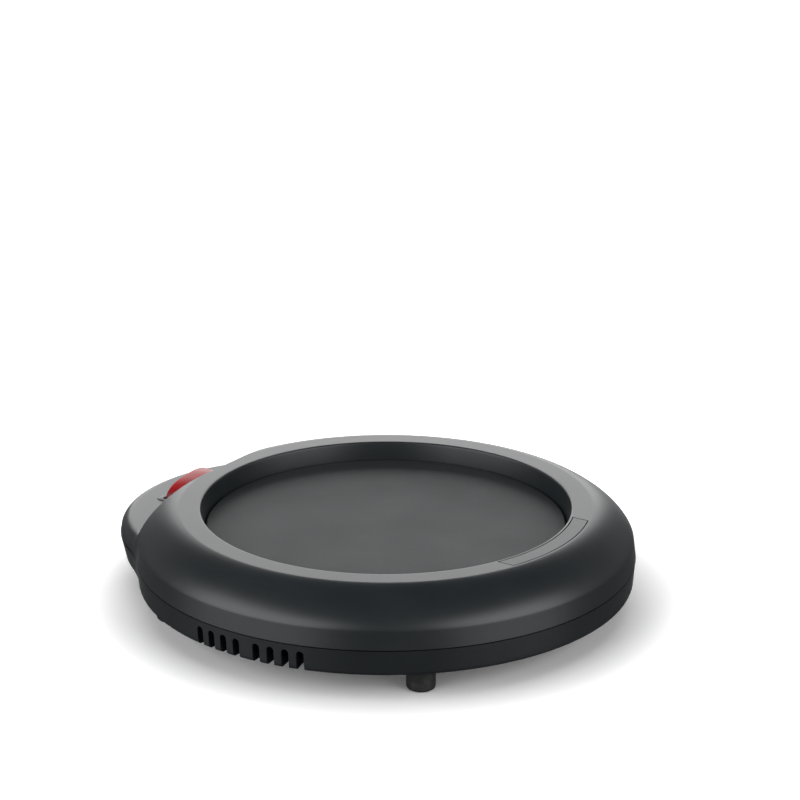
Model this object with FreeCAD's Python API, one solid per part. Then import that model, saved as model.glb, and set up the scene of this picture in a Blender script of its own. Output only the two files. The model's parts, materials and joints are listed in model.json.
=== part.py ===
# Electric mug warmer: a round two-part plastic case with a recessed hot plate, a switch lobe at the
# back with a red rocker, a trim inlay in the rim at the front, side vents and four rubber feet.
# Millimetres. The origin is the centre of the hot plate's top face, +Z is up, the front faces -Y and
# the switch lobe points to +Y.
import FreeCAD, Part
import math
import os

V = FreeCAD.Vector
os.makedirs("parts", exist_ok=True)

# Case, outside
body_radius = 62.8            # round body at the parting line
side_draft = 0.55             # the cover's side wall leans in by this up to the shoulder
base_draft = 0.5              # the base leans in by this down to its bottom edge
recess_depth = 4.6            # rim above the hot plate
recess_radius = 46.4          # opening of the plate recess at the rim
recess_floor_radius = 45.5    # the recess narrows to this at the plate
recess_edge = 0.45            # bevel of the rim's inner edge
shoulder_width = 10.45        # level width of the rounded shoulder, outside the flat rim
shoulder_drop = 8.1           # height of the rounded shoulder
shoulder_side_turn = 36.0     # degrees that its lower, tighter arc turns
shoulder_top_turn = 20.0      # degrees that its arc at the rim turns
shoulder_middle_radius = 18.0
cover_height = 12.65          # rim top down to the parting line
case_height = 19.2            # rim top down to the bottom edge
foot_height = 6.3             # bottom edge down to the table
bottom_edge = 1.0             # bevel round the base's bottom
wall = 2.2
floor_thickness = 2.0
reveal = 0.3                  # dark line between cover and base

# Switch lobe
lobe_centre = 32.0            # its round outline's centre behind the plate's centre
lobe_radius = 42.0            # outline at the parting line
lobe_draft = 0.4              # the cover's lobe narrows upwards by this
lobe_base_draft = 1.4         # the base's lobe narrows downwards by this
lobe_drop = 8.8               # rim top down to the lobe's flat top
lobe_edge_radius = 3.0
notch_front = 51.2            # flat wall cut into the ring in front of the rocker
notch_half_length = 23.0
notch_corner_radius = 5.0

# Joint between cover and base
skirt = 1.1                   # the cover's outer skin beside the tongue
tongue_height = 1.6
tongue_gap = 0.12

# Plate seat
lip_radius = 41.6             # opening under the plate
lip_thickness = 1.8
recess_wall = 2.0
plate_thickness = 1.5
plate_gap = 0.3
plate_edge = 0.5              # bevel round the plate's top
gasket_thickness = 0.5
gasket_width = 2.6

# Heater under the plate
mica_radius = 38.5
mica_thickness = 0.4
ribbon_thickness = 0.2
ribbon_width = 1.4
ribbon_pitch = 5.0
ribbon_runs = 10              # an even count brings both ends out on the same side
ribbon_field_radius = 29.0
tab_length = 3.0              # how far the ribbon's ends reach below the clamp plate
tab_clearance = 0.5
clamp_radius = 44.0
clamp_thickness = 0.6
stud_circle = 34.0            # threaded studs under the plate
stud_radius = 2.4
stud_clearance = 0.3
stud_count = 3
plate_screw_radius = 1.2
plate_screw_grip = 3.0        # screw inside the stud
pan_head_radius = 2.4
pan_head_height = 1.1
thread_clearance = 0.05
shield_radius = 39.0
shield_thickness = 0.4
shield_height = 2.2           # heat shield above the base's floor
shield_flange = 0.6           # upturned edge
shield_post_circle = 33.0
shield_post_radius = 2.4
shield_peg_radius = 1.0
shield_peg_height = 1.0

# Case screws and their bosses
front_boss_x = 22.0
front_boss_y = -47.6
back_boss_x = 25.0
back_boss_y = 55.6
boss_radius = 3.3
pilot_radius = 1.25
pilot_spare = 0.5             # pilot hole beyond the screw's tip
boss_joint_drop = 15.4        # rim top down to where the two bosses meet
screw_radius = 1.2
screw_hole_radius = 1.6
screw_length = 6.0
screw_head_radius = 2.6
screw_head_height = 1.6
screw_slot = 0.6
counterbore_radius = 3.0
counterbore_depth = 2.2
boss_skin = 1.2               # wall of the base's boss around the counterbore

# Feet
foot_side_inset = 22.0        # feet in from the body's widest points
foot_end_inset = 25.7
foot_radius = 3.5
foot_edge = 0.9               # bevel round the foot's bottom
foot_stem_radius = 2.0
foot_bead_radius = 2.7
foot_bead_tip = 1.4
foot_bead_height = 1.4
foot_clearance = 0.05

# Vents
vent_direction = 88.0         # middle of each side's vents, in degrees from the front
vent_pitch = 3.5              # degrees from slot to slot
vent_group_gap = 5.2          # degrees between the two inner slots
vents_per_group = 4
vent_width = 1.9
vent_drop = 14.2              # rim top down to the slots' upper end
vent_reach = 4.6              # how far the slots run in under the base

# Trim inlay in the rim
inlay_inner_radius = 47.1
inlay_outer_radius = 51.4
inlay_half_length = 17.8
inlay_thickness = 1.0
inlay_gap = 0.18
inlay_peg_x = 12.0
inlay_peg_radius = 0.8

# Rocker switch, centred behind the notch wall
switch_y = 58.5
rocker_half_length = 9.3
rocker_half_width = 4.7
rocker_crest = 4.2            # top of the rocker above the lobe
rocker_end_turn = 58.0        # degrees that the barrel's tight end arc turns
rocker_crown_turn = 10.0      # degrees that each half of its flat crown turns
rocker_middle_radius = 6.0
rocker_skin = 1.2
rocker_edge = 0.6             # bevel along the rocker's long edges
rocker_depth = 3.8            # rocker below the lobe's top
rocker_tilt = 6.0             # each way from level, in degrees
rocker_gap = 0.3
pivot_drop = 2.4              # rocker pivot below the lobe's top
trunnion_radius = 1.0
trunnion_length = 1.1
trunnion_clearance = 0.05
housing_wall = 1.2
housing_floor = 1.0
housing_lift = 0.2            # housing above the base's floor
housing_corner = 0.8
housing_clearance = 0.1
bezel_overhang = 0.5
bezel_height = 0.35
snap_reach = 0.45
snap_length = 5.0
snap_height = 2.0
lever_thickness = 0.4
lever_width = 3.0
lever_reach = 6.9             # from the fulcrum towards the fixed contact
lever_tail = 5.2
lever_tilt = 5.0
fulcrum_height = 1.5          # knife edge above the housing's floor
fulcrum_half_width = 0.25
fulcrum_gap = 0.03
contact_radius = 0.9
contact_height = 0.3
contact_x = 5.9               # contact pair from the fulcrum
contact_gap = 0.06            # left between the closed contacts
plunger_radius = 0.8
plunger_clearance = 0.08
plunger_tube_wall = 0.8
plunger_length = 3.2
plunger_gap = 0.06
spring_wire = 0.24            # square wire
spring_turns = 4
spring_runs_per_turn = 8
terminal_thickness = 0.5
terminal_width = 2.8
terminal_reach = 3.6          # terminals outside the housing
lamp_terminal_x = 6.5
part_gap = 0.15               # loose electrical parts above what they lie on
lamp_radius = 1.1
lamp_length = 4.2
lamp_x = 0.6
lamp_offset = 3.4             # lamp and resistor beside the lever
resistor_radius = 0.9
resistor_length = 6.3
resistor_x = 0.1

# Cord inlet at the back of the lobe
inlet_height = 4.0            # centre above the case's bottom edge
inlet_bore_radius = 2.5
inlet_neck_radius = 3.05
inlet_flange_radius = 3.5
inlet_flange_thickness = 1.0
inlet_clearance = 0.05
inlet_seat_gap = 0.1

# Leads and what is on them
lead_radius = 0.8
lead_height = 4.2             # usual level above the base's floor
cutoff_radius = 2.0
cutoff_length = 11.0
cutoff_gap = 0.1
cutoff_nose_radius = 1.0
cutoff_back = 39.0            # its back end, behind the plate's centre
clip_thickness = 0.4
clip_width = 5.0
clip_foot = 2.6
crimp_radius = 2.4
crimp_wall = 0.5
crimp_length = 9.0
crimp_grip = 5.0              # lead inside the crimp
lead_gap = 0.15               # between a lead's end and what it is joined to
crimp_x = 17.0
crimp_y = 46.0
# each lead's corners on the way, from its start or, where named so, from its end
live_first = (-1.0, -4.0, 0.6)
live_last_from_end = (1.6, 5.0, -0.4)
lamp_first = (0.8, -3.0, 0.3)
lamp_last_from_end = (-8.0, 0.2, 0.0)
neutral_corners = ((0.6, 9.0), (13.0, 27.0), (24.0, 50.0))
neutral_last_from_end = ((-14.0, -5.0), (-9.0, 0.0))

# Sizes and levels that follow from those above
shoulder_radius = body_radius - side_draft
base_radius = body_radius - base_draft
rim_flat_radius = shoulder_radius - shoulder_width
foot_x = body_radius - foot_side_inset
foot_y = body_radius - foot_end_inset
rim_top = recess_depth
shoulder_z = rim_top - shoulder_drop
parting_z = rim_top - cover_height
cover_edge_z = parting_z + reveal / 2
base_edge_z = parting_z - reveal / 2
bottom_z = rim_top - case_height
floor_z = bottom_z + floor_thickness
table_z = bottom_z - foot_height
ceiling_z = rim_top - wall
lobe_top_z = rim_top - lobe_drop
lobe_ceiling_z = lobe_top_z - wall
lobe_back = lobe_centre + lobe_radius
heater_top_z = -plate_thickness
lip_top_z = heater_top_z - gasket_thickness
lip_bottom_z = lip_top_z - lip_thickness
ribbon_top_z = heater_top_z - mica_thickness
lower_mica_top_z = ribbon_top_z - ribbon_thickness
pad_top_z = lower_mica_top_z - mica_thickness
clamp_bottom_z = lip_bottom_z - clamp_thickness
boss_joint_z = rim_top - boss_joint_drop
shield_z = floor_z + shield_height
recess_wall_radius = recess_floor_radius + recess_wall
plate_radius = recess_floor_radius - plate_gap
pivot_z = lobe_top_z - pivot_drop
housing_floor_z = floor_z + housing_lift + housing_floor
fulcrum_z = housing_floor_z + fulcrum_height
housing_half_length = math.hypot(rocker_half_length, pivot_drop) + rocker_gap
housing_half_width = rocker_half_width + rocker_gap
inlet_z = bottom_z + inlet_height
lead_z = floor_z + lead_height
cutoff_z = clamp_bottom_z - cutoff_gap - cutoff_radius
beyond = 5.0                  # how far cutting tools run past the material


def cylinder(radius, z0, z1, x=0.0, y=0.0):
    return Part.makeCylinder(radius, z1 - z0, V(x, y, z0))


def cone(r0, r1, z0, z1, x=0.0, y=0.0):
    return Part.makeCone(r0, r1, z1 - z0, V(x, y, z0))


def block(x0, x1, y0, y1, z0, z1):
    return Part.makeBox(x1 - x0, y1 - y0, z1 - z0, V(x0, y0, z0))


def bar_along_y(radius, x, y0, y1, z):
    return Part.makeCylinder(radius, y1 - y0, V(x, y0, z), V(0, 1, 0))


def bar_along_x(radius, x0, x1, y, z):
    return Part.makeCylinder(radius, x1 - x0, V(x0, y, z), V(1, 0, 0))


def line(a, b):
    return Part.LineSegment(V(*a), V(*b)).toShape()


def arched(side, top, side_turn, top_turn, middle_radius):
    """Three tangent arcs from an upright start at the side to a level end at the top, as ends and middles.

    The arcs' headings add up to a quarter turn. The two outer radii follow from the height and width that
    the arcs must cover together."""
    width, height = side[0] - top[0], top[1] - side[1]
    a, b = math.radians(side_turn), math.radians(top_turn)
    across = width - middle_radius * (math.cos(a) - math.sin(b))
    up = height - middle_radius * (math.cos(b) - math.sin(a))
    shared = (1 - math.cos(a)) * (1 - math.cos(b)) - math.sin(a) * math.sin(b)
    side_radius = (across * (1 - math.cos(b)) - up * math.sin(b)) / shared
    top_radius = (up * (1 - math.cos(a)) - across * math.sin(a)) / shared
    x, z = side
    heading = math.pi / 2
    points = [side]
    for radius, turn in ((side_radius, a), (middle_radius, math.pi / 2 - a - b), (top_radius, b)):
        for reach in (turn / 2, turn):
            points.append((x + radius * (math.sin(heading + reach) - math.sin(heading)),
                           z + radius * (math.cos(heading) - math.cos(heading + reach))))
        x, z = points[-1]
        heading += turn
    return points


def arcs(points, y=0.0):
    """The arcs through a list of ends and middles, in an upright plane."""
    corners = [V(px, y, pz) for px, pz in points]
    return [Part.Arc(*corners[i:i + 3]).toShape() for i in range(0, len(corners) - 2, 2)]


def spun(edges):
    """The solid of a closed outline in the XZ plane turned about the Z axis."""
    return Part.Face(Part.Wire(edges)).revolve(V(0, 0, 0), V(0, 0, 1), 360)


def outline(points):
    """The straight edges through points of the XZ plane."""
    ring = [(x, 0, z) for x, z in points]
    return [line(a, b) for a, b in zip(ring, ring[1:])]


def bevelled(radius, bevel, z0, z1, x=0.0, y=0.0):
    """A disc with a bevel round the end at z0, which may be its lower or its upper end."""
    step = bevel if z1 > z0 else -bevel
    low, high = min(z0 + step, z1), max(z0 + step, z1)
    body = cylinder(radius, low, high, x, y)
    if z1 > z0:
        return body.fuse(cone(radius - bevel, radius, z0, z0 + step, x, y))
    return body.fuse(cone(radius, radius - bevel, z0 + step, z0, x, y))


def rounded_block(x0, x1, y0, y1, z0, z1, radius):
    """A block whose upright edges are rounded."""
    solid = block(x0, x1, y0, y1, z0, z1)
    upright = [e for e in solid.Edges if abs(e.tangentAt(e.FirstParameter).z) > 0.99]
    return solid.makeFillet(radius, upright)


def turned(shape, degrees, centre=V(0, 0, 0), axis=V(0, 0, 1)):
    copy = shape.copy()
    copy.rotate(centre, axis, degrees)
    return copy


def fuse(shapes):
    first, *rest = shapes
    return first.fuse(rest).removeSplitter() if rest else first


def flat_edges(solid, z):
    """The edges that lie at one level."""
    return [e for e in solid.Edges if abs(e.BoundBox.ZMin - z) < 1e-6 and abs(e.BoundBox.ZMax - z) < 1e-6]


def case_plan(inset, z0, z1):
    """The case's plan drawn in by an inset: the round body with the switch lobe."""
    body = cylinder(body_radius - inset, z0, z1)
    return body.fuse(cylinder(lobe_radius - inset, z0, z1, y=lobe_centre)).removeSplitter()


def shoulder_points():
    """The shoulder in section, from the side wall up to the rim's flat."""
    return arched((shoulder_radius, shoulder_z), (rim_flat_radius, rim_top),
                  shoulder_side_turn, shoulder_top_turn, shoulder_middle_radius)


def notch(inset):
    """The space cleared in the ring for the rocker, made larger by an inset."""
    half = notch_half_length + inset
    return rounded_block(-half, half, notch_front - inset, notch_front + 2 * body_radius,
                         lobe_top_z - inset, rim_top + beyond, notch_corner_radius + inset)


def boss_places():
    pairs = ((front_boss_x, front_boss_y), (back_boss_x, back_boss_y))
    return [(side * x, y) for x, y in pairs for side in (-1, 1)]


def foot_places():
    return {"front_left": (-foot_x, -foot_y), "front_right": (foot_x, -foot_y),
            "back_left": (-foot_x, foot_y), "back_right": (foot_x, foot_y)}


def stud_places():
    turns = [2 * math.pi * i / stud_count for i in range(stud_count)]
    return [(stud_circle * math.sin(t), -stud_circle * math.cos(t)) for t in turns]


def shield_post_places():
    step = shield_post_circle / math.sqrt(2)
    return [(x, y) for x in (-step, step) for y in (-step, step)]


def inlay_plan(inset, z0, z1):
    """The inlay's plan: a stretch of the rim whose ends run parallel to the front-back line."""
    ring = cylinder(inlay_outer_radius - inset, z0, z1).cut(cylinder(inlay_inner_radius + inset, z0, z1))
    half = inlay_half_length - inset
    return ring.common(block(-half, half, -body_radius, 0, z0, z1))


def inlay_pegs(radius, z0, z1):
    middle = (inlay_inner_radius + inlay_outer_radius) / 2
    y = -math.sqrt(middle ** 2 - inlay_peg_x ** 2)
    return [cylinder(radius, z0, z1, side * inlay_peg_x, y) for side in (-1, 1)]


def inlet_tube(radius, y0, y1):
    return bar_along_y(radius, 0, y0, y1, inlet_z)


def cover_outside():
    """The cover before it is hollowed: a turned ring with its notch, and the lobe behind it."""
    bottom = cover_edge_z
    ring = spun(outline([(0, bottom), (body_radius, bottom), (shoulder_radius, shoulder_z)])
                + arcs(shoulder_points())
                + outline([(rim_flat_radius, rim_top), (0, rim_top), (0, bottom)]))
    lobe = cone(lobe_radius, lobe_radius - lobe_draft, bottom, lobe_top_z, y=lobe_centre)
    lobe = lobe.makeFillet(lobe_edge_radius, flat_edges(lobe, lobe_top_z))
    return ring.cut(notch(0)).fuse(lobe).removeSplitter()


def recess_tool():
    """What is cleared above the hot plate, with the rim's inner edge bevelled."""
    mouth = recess_radius + recess_edge
    high = rim_top + beyond
    return spun(outline([
        (0, high), (mouth, high), (mouth, rim_top), (recess_radius, rim_top - recess_edge),
        (recess_floor_radius, 0), (recess_floor_radius, lip_top_z), (0, lip_top_z), (0, high)]))


def cover_cavity():
    """The hollow under the rim, with a plain slope inside the shoulder, and the one in the lobe."""
    low = cover_edge_z - beyond
    inner = body_radius - wall
    slope_foot, slope_head = shoulder_points()[2], shoulder_points()[4]
    ring = spun(outline([
        (recess_wall_radius, low), (inner, low), (inner, cover_edge_z),
        (slope_foot[0] - wall, slope_foot[1] - wall / 2), (slope_head[0] - wall / 2, ceiling_z),
        (recess_wall_radius, ceiling_z), (recess_wall_radius, low)]))
    lobe = cylinder(lobe_radius - wall, low, lobe_ceiling_z, y=lobe_centre)
    lobe = lobe.cut(cylinder(recess_wall_radius, low - 1, lobe_ceiling_z + 1))
    return ring.cut(notch(wall)).fuse(lobe)


def switch_cutout(clearance, z0, z1):
    half = housing_half_length + housing_wall + clearance
    width = housing_half_width + housing_wall + clearance
    return rounded_block(-half, half, switch_y - width, switch_y + width, z0, z1, housing_corner + clearance)


def make_upper_cover():
    low = cover_edge_z - beyond
    cover = cover_outside().cut([
        recess_tool(), cover_cavity(),
        cylinder(lip_radius, low, beyond),
        cylinder(recess_wall_radius, low, lip_bottom_z),
        case_plan(skirt, low, cover_edge_z + tongue_height)])
    bosses = []
    for x, y in boss_places():
        top = ceiling_z if y < 0 else lobe_ceiling_z + wall / 2
        bosses.append(cylinder(boss_radius, boss_joint_z, top, x, y))
    cover = cover.fuse(bosses).removeSplitter()
    tip = bottom_z + counterbore_depth + screw_length + pilot_spare
    holes = [cylinder(pilot_radius, boss_joint_z - 1, tip, x, y) for x, y in boss_places()]
    bed = inlay_plan(0, rim_top - inlay_thickness - inlay_gap, rim_top + 1)
    pegs = inlay_pegs(inlay_peg_radius + inlay_gap / 2, ceiling_z - 1, rim_top)
    inlet_start = lobe_back - lobe_edge_radius - wall
    inlet = inlet_tube(inlet_neck_radius + inlet_clearance, inlet_start, lobe_back + beyond)
    opening = switch_cutout(housing_clearance, lobe_ceiling_z - 1, lobe_top_z + 1)
    return cover.cut(holes + pegs + [bed, inlet, opening])


def vent_angles():
    """Directions of one side's slots, in degrees from the front."""
    steps = [vent_group_gap / 2 + i * vent_pitch for i in range(vents_per_group)]
    return [vent_direction + side * step for step in steps for side in (-1, 1)]


def base_shell():
    """The round body and the lobe, both leaning in downwards to a bevel, hollowed together."""
    corner = bottom_z + bottom_edge
    outside, cavity = [], []
    for low, high, y in ((base_radius, body_radius, 0), (lobe_radius - lobe_base_draft, lobe_radius, lobe_centre)):
        bent = low + (high - low) * bottom_edge / (base_edge_z - bottom_z)
        outside.append(cone(low - bottom_edge, bent, bottom_z, corner, y=y))
        outside.append(cone(bent, high, corner, base_edge_z, y=y))
        cavity.append(cone(low - wall, high - wall, floor_z, base_edge_z, y=y))
    return fuse(outside).cut(cavity)


def base_tongue():
    """The raised edge that fits inside the cover's skirt."""
    low = base_edge_z - tongue_height
    top = cover_edge_z + tongue_height - tongue_gap
    return case_plan(skirt + tongue_gap, low, top).cut(case_plan(wall, low - 1, top + 1))


def make_lower_base():
    root = floor_z - floor_thickness / 2
    seat_top = bottom_z + counterbore_depth + boss_skin
    peg_top = shield_z + shield_peg_height
    added = [base_tongue()]
    for x, y in boss_places():
        added.append(cylinder(boss_radius, root, boss_joint_z, x, y))
        added.append(cylinder(counterbore_radius + boss_skin, root, seat_top, x, y))
    for x, y in shield_post_places():
        added.append(cylinder(shield_post_radius, root, shield_z, x, y))
        added.append(cylinder(shield_peg_radius, shield_z, peg_top, x, y))
    base = base_shell().fuse(added).removeSplitter()

    cuts = []
    for x, y in boss_places():
        cuts.append(cylinder(screw_hole_radius, bottom_z - 1, boss_joint_z + 1, x, y))
        cuts.append(cylinder(counterbore_radius, bottom_z - 1, bottom_z + counterbore_depth, x, y))
    for x, y in foot_places().values():
        cuts.append(cylinder(foot_stem_radius + foot_clearance, bottom_z - 1, floor_z + 1, x, y))
    slot = block(-vent_width / 2, vent_width / 2, -body_radius - beyond, -base_radius + vent_reach,
                 bottom_z - 1, rim_top - vent_drop)
    for angle in vent_angles():
        cuts += [turned(slot, angle), turned(slot, -angle)]
    inlet_start = lobe_back - lobe_edge_radius - wall
    cuts.append(inlet_tube(inlet_neck_radius + inlet_clearance, inlet_start, lobe_back + beyond))
    return base.cut(cuts)


def make_rim_inlay():
    strip = inlay_plan(inlay_gap, rim_top - inlay_thickness, rim_top)
    return fuse([strip] + inlay_pegs(inlay_peg_radius, ceiling_z, rim_top - inlay_thickness / 2))


def make_warming_plate():
    disc = bevelled(plate_radius, plate_edge, 0, -plate_thickness)
    studs = [cylinder(stud_radius, lip_bottom_z, -plate_thickness / 2, x, y) for x, y in stud_places()]
    bore = plate_screw_radius + thread_clearance
    top = lip_bottom_z + plate_screw_grip
    threads = [cylinder(bore, lip_bottom_z - 1, top, x, y) for x, y in stud_places()]
    return fuse([disc] + studs).cut(threads)


def make_plate_gasket():
    ring = cylinder(plate_radius, lip_top_z, heater_top_z)
    return ring.cut(cylinder(plate_radius - gasket_width, lip_top_z - 1, heater_top_z + 1))


def ribbon_levels():
    first = ribbon_pitch * (ribbon_runs - 1) / 2
    return [first - ribbon_pitch * i for i in range(ribbon_runs)]


def ribbon_reach(y):
    return math.sqrt(ribbon_field_radius ** 2 - y ** 2)


def tab_places():
    """Where the ribbon's two free ends come down, both on the left."""
    return [(-ribbon_reach(y), y) for y in (ribbon_levels()[0], ribbon_levels()[-1])]


def make_heater_ribbon():
    """A flat ribbon laid to and fro in a round field, with both ends brought out downwards."""
    levels = ribbon_levels()
    half = ribbon_width / 2
    pieces = []
    turns = [min(ribbon_reach(a), ribbon_reach(b)) for a, b in zip(levels, levels[1:])]
    for i, y in enumerate(levels):
        ends = {1: ribbon_reach(y), -1: ribbon_reach(y)}
        if i < len(turns):
            ends[1 if i % 2 == 0 else -1] = turns[i]
        if i > 0:
            ends[1 if i % 2 == 1 else -1] = turns[i - 1]
        pieces.append(block(-ends[-1], ends[1], y - half, y + half, lower_mica_top_z, ribbon_top_z))
    for i, reach in enumerate(turns):
        x0, x1 = (reach - half, reach + half) if i % 2 == 0 else (-reach - half, -reach + half)
        pieces.append(block(x0, x1, levels[i + 1] - half, levels[i] + half, lower_mica_top_z, ribbon_top_z))
    for x, y in tab_places():
        pieces.append(block(x, x + ribbon_thickness, y - half, y + half, clamp_bottom_z - tab_length, ribbon_top_z))
    return fuse(pieces)


def heater_disc(radius, z0, z1, with_tabs=True):
    """A layer of the heater with holes for the studs and slots for the ribbon's ends."""
    cuts = [cylinder(stud_radius + stud_clearance, z0 - 1, z1 + 1, x, y) for x, y in stud_places()]
    if with_tabs:
        half = ribbon_width / 2 + tab_clearance
        cuts += [block(x - tab_clearance, x + ribbon_thickness + tab_clearance, y - half, y + half, z0 - 1, z1 + 1)
                 for x, y in tab_places()]
    return cylinder(radius, z0, z1).cut(cuts)


def make_clamp_plate():
    half = ribbon_width / 2 + tab_clearance
    cuts = [cylinder(plate_screw_radius + stud_clearance, clamp_bottom_z - 1, lip_bottom_z + 1, x, y)
            for x, y in stud_places()]
    cuts += [block(x - tab_clearance, x + ribbon_thickness + tab_clearance, y - half, y + half,
                   clamp_bottom_z - 1, lip_bottom_z + 1) for x, y in tab_places()]
    return cylinder(clamp_radius, clamp_bottom_z, lip_bottom_z).cut(cuts)


def cross_slot(x, y, z0, z1, reach):
    half = screw_slot / 2
    return [block(x - reach, x + reach, y - half, y + half, z0, z1),
            block(x - half, x + half, y - reach, y + reach, z0, z1)]


def make_plate_screws():
    screws = []
    for x, y in stud_places():
        low = clamp_bottom_z - pan_head_height
        head = bevelled(pan_head_radius, pan_head_height / 2, low, clamp_bottom_z, x, y)
        tip = lip_bottom_z + plate_screw_grip - part_gap
        screw = head.fuse(cylinder(plate_screw_radius, clamp_bottom_z, tip, x, y))
        screws.append(screw.cut(cross_slot(x, y, low - 1, low + pan_head_height / 2, pan_head_radius / 2)))
    return Part.makeCompound(screws)


def make_heat_shield():
    pan = cylinder(shield_radius, shield_z, shield_z + shield_thickness + shield_flange)
    pan = pan.cut(cylinder(shield_radius - shield_thickness, shield_z + shield_thickness, shield_z + beyond))
    holes = [cylinder(shield_peg_radius + stud_clearance / 3, shield_z - 1, shield_z + beyond, x, y)
             for x, y in shield_post_places()]
    return pan.cut(holes)


def make_case_screws():
    screws = []
    for x, y in boss_places():
        seat = bottom_z + counterbore_depth
        head = cylinder(screw_head_radius, seat - screw_head_height, seat, x, y)
        shank = cylinder(screw_radius, seat, seat + screw_length - screw_radius, x, y)
        point = cone(screw_radius, screw_radius / 3, seat + screw_length - screw_radius, seat + screw_length, x, y)
        low = seat - screw_head_height
        screws.append(fuse([head, shank, point]).cut(
            cross_slot(x, y, low - 1, low + screw_head_height / 2, screw_head_radius / 2)))
    return Part.makeCompound(screws)


def make_foot(x, y):
    peg = bevelled(foot_radius, foot_edge, table_z, bottom_z, x, y)
    stem = cylinder(foot_stem_radius, bottom_z, floor_z, x, y)
    bead = cone(foot_bead_radius, foot_bead_tip, floor_z, floor_z + foot_bead_height, x, y)
    return fuse([peg, stem, bead])


def terminal_slots():
    half = terminal_width / 2 + thread_clearance
    front = switch_y - housing_half_width - housing_wall
    return [block(x - half, x + half, front - 1, front + housing_wall + 1,
                  housing_floor_z, housing_floor_z + terminal_thickness + thread_clearance)
            for x in (-contact_x, 0, lamp_terminal_x)]


def make_switch_housing():
    """An open box with a narrow bezel on the lobe, bearing holes for the rocker and snaps below."""
    half, width = housing_half_length, housing_half_width
    bottom = floor_z + housing_lift
    box = switch_cutout(0, bottom, lobe_top_z + bezel_height)
    bezel = rounded_block(-half - housing_wall - bezel_overhang, half + housing_wall + bezel_overhang,
                          switch_y - width - housing_wall - bezel_overhang,
                          switch_y + width + housing_wall + bezel_overhang,
                          lobe_top_z, lobe_top_z + bezel_height, housing_corner + bezel_overhang)
    face = width + housing_wall
    x, y, z = -snap_length / 2, switch_y + face, lobe_ceiling_z - housing_clearance
    hook = [V(x, y, z), V(x, y + snap_reach, z), V(x, y, lobe_ceiling_z - snap_height), V(x, y, z)]
    snap = Part.Face(Part.makePolygon(hook)).extrude(V(snap_length, 0, 0))
    other = turned(snap, 180, V(0, switch_y, 0))
    inside = block(-half, half, switch_y - width, switch_y + width, housing_floor_z, lobe_top_z + beyond)
    bearing = bar_along_y(trunnion_radius + trunnion_clearance, 0, switch_y - face - 1, switch_y + face + 1, pivot_z)
    return fuse([box, bezel, snap, other]).cut([inside, bearing] + terminal_slots())


def tilted_rocker(shape):
    """The rocker as it stands at rest, with its right end up."""
    return turned(shape, -rocker_tilt, V(0, switch_y, pivot_z), V(0, 1, 0))


def tilted_lever(shape):
    """The lever as it stands at rest, with its left end up and its contact open."""
    return turned(shape, lever_tilt, V(0, switch_y, fulcrum_z), V(0, 1, 0))


def rocker_profile(half, top, bottom, y):
    """A barrel top on upright ends, seen from the front."""
    low = lobe_top_z
    right = arched((half, low), (0, top), rocker_end_turn, rocker_crown_turn, rocker_middle_radius)
    left = [(-x, z) for x, z in reversed(right)]
    return Part.Face(Part.Wire(
        [line((-half, y, low), (-half, y, bottom)), line((-half, y, bottom), (half, y, bottom)),
         line((half, y, bottom), (half, y, low))] + arcs(right, y) + arcs(left, y)))


def make_rocker():
    """A hollow rocker with a barrel top, two trunnions and a tube for the plunger."""
    half, width = rocker_half_length, rocker_half_width
    top, bottom = lobe_top_z + rocker_crest, lobe_top_z - rocker_depth
    outer = rocker_profile(half, top, bottom, switch_y - width).extrude(V(0, 2 * width, 0))
    long_edges = [e for e in outer.Edges if e.BoundBox.ZMin > lobe_top_z - 1e-3 and e.BoundBox.YLength < 1e-3]
    outer = outer.makeChamfer(rocker_edge, long_edges)
    inner_width = width - rocker_skin
    inner = rocker_profile(half - rocker_skin, top - rocker_skin, bottom - 1, switch_y - inner_width)
    inner = inner.extrude(V(0, 2 * inner_width, 0))
    tube_radius = plunger_radius + plunger_clearance + plunger_tube_wall
    tube = cylinder(tube_radius, pivot_z - trunnion_radius, top - rocker_skin / 2, 0, switch_y)
    root, tip = width - rocker_skin / 2, width + trunnion_length
    pins = [bar_along_y(trunnion_radius, 0, switch_y + root, switch_y + tip, pivot_z),
            bar_along_y(trunnion_radius, 0, switch_y - tip, switch_y - root, pivot_z)]
    bore = cylinder(plunger_radius + plunger_clearance, pivot_z - beyond, top - rocker_skin, 0, switch_y)
    return tilted_rocker(outer.cut(inner).fuse([tube] + pins).removeSplitter().cut(bore))


def plunger_tip_z():
    return fulcrum_z + fulcrum_gap + lever_thickness + plunger_gap


def make_rocker_plunger():
    tip = plunger_tip_z()
    return tilted_rocker(bevelled(plunger_radius, plunger_radius / 2, tip, tip + plunger_length, 0, switch_y))


def make_plunger_spring():
    """A coil of square wire in short straight runs, between the plunger and the roof of the rocker's bore."""
    half = spring_wire / 2
    low = plunger_tip_z() + plunger_length + spring_wire
    high = lobe_top_z + rocker_crest - rocker_skin - spring_wire
    runs = spring_turns * spring_runs_per_turn
    coil_radius = plunger_radius - spring_wire
    turns = [2 * math.pi * i / spring_runs_per_turn for i in range(runs + 1)]
    path = [V(coil_radius * math.cos(t), coil_radius * math.sin(t), (high - low) * i / runs)
            for i, t in enumerate(turns)]
    along = path[1].sub(path[0]).normalize()
    outward = V(along.y, -along.x, 0).normalize()
    upward = along.cross(outward)
    corners = [path[0].add(V(outward).multiply(a * half)).add(V(upward).multiply(b * half))
               for a, b in ((-1, -1), (1, -1), (1, 1), (-1, 1), (-1, -1))]
    coil = Part.makePolygon(path).makePipeShell([Part.makePolygon(corners)], True, True, 1)
    coil.translate(V(0, switch_y, low))
    return tilted_rocker(coil)


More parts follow.
